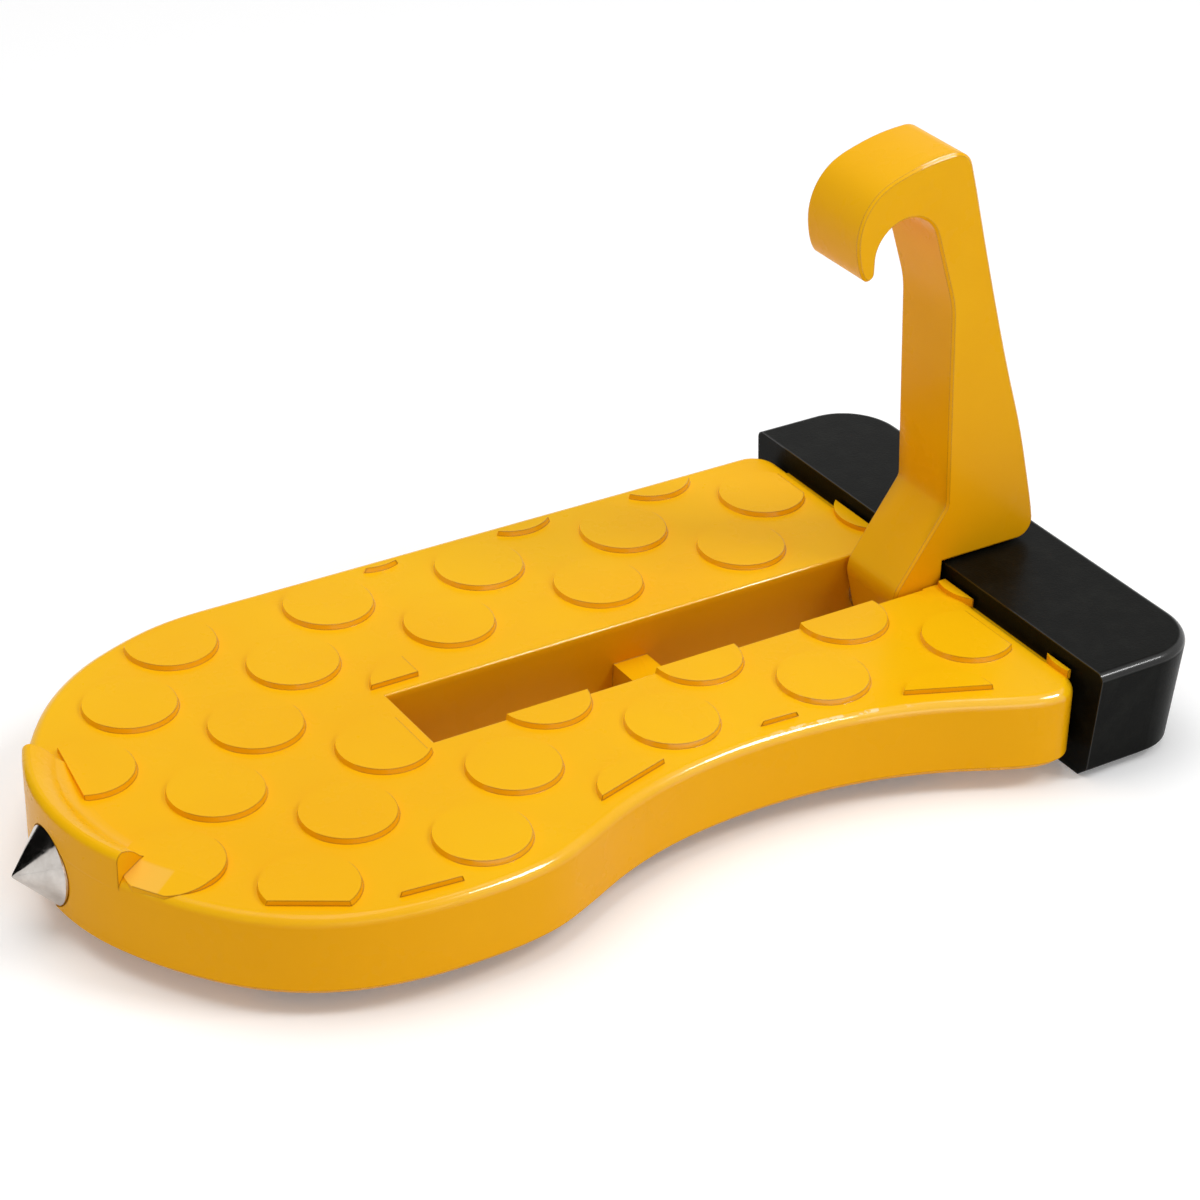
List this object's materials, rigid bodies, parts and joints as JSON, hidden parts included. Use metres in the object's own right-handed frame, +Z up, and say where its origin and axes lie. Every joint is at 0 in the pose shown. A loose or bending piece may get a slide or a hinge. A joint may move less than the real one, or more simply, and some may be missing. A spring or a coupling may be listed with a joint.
{
  "type": "car door latch step",
  "caption": "Foot-shaped folding step with a hook for a car door's latch loop, studded tread, rubber bumper and a hard pointed window tip.",
  "frame": {"origin": "on the plane that the rubber bumper's sole lies in, under the middle of the whole step's bounding box; y = 0 is the middle of the hook slot", "axes": "+X from the hammer tip toward the rubber bumper, +Y across the tread toward the straight side, +Z up, out of the tread"},
  "size_m": [0.1624, 0.0834, 0.082],
  "materials": {
    "yellow_casting": "glossy orange-yellow paint on die-cast aluminium",
    "yellow_hook": "glossy orange-yellow paint on cast steel",
    "bumper_rubber": "satin black moulded rubber",
    "tip_steel": "polished hardened steel",
    "pin_steel": "ground steel",
    "strap_steel": "zinc-plated sheet steel",
    "screw_steel": "zinc-plated steel"
  },
  "bodies": {
    "step": {"pedal_body": "yellow_casting", "bumper": "bumper_rubber", "hammer_tip": "tip_steel", "hinge_pin": "pin_steel", "washer_near": "pin_steel", "washer_far": "pin_steel", "strap_near": "strap_steel", "strap_far": "strap_steel", "strap_screw_a": "screw_steel", "strap_screw_b": "screw_steel", "strap_screw_c": "screw_steel", "strap_screw_d": "screw_steel", "bumper_screw_near": "screw_steel", "bumper_screw_far": "screw_steel"},
    "hook": {"hook": "yellow_hook"}
  },
  "joints": [
    {"name": "hook_fold", "type": "hinge", "parent": "step", "child": "hook", "pos_m": [0.05905, 0, 0.0086], "axis": [0, -1, 0], "range_deg": [0, 90]}
  ]
}
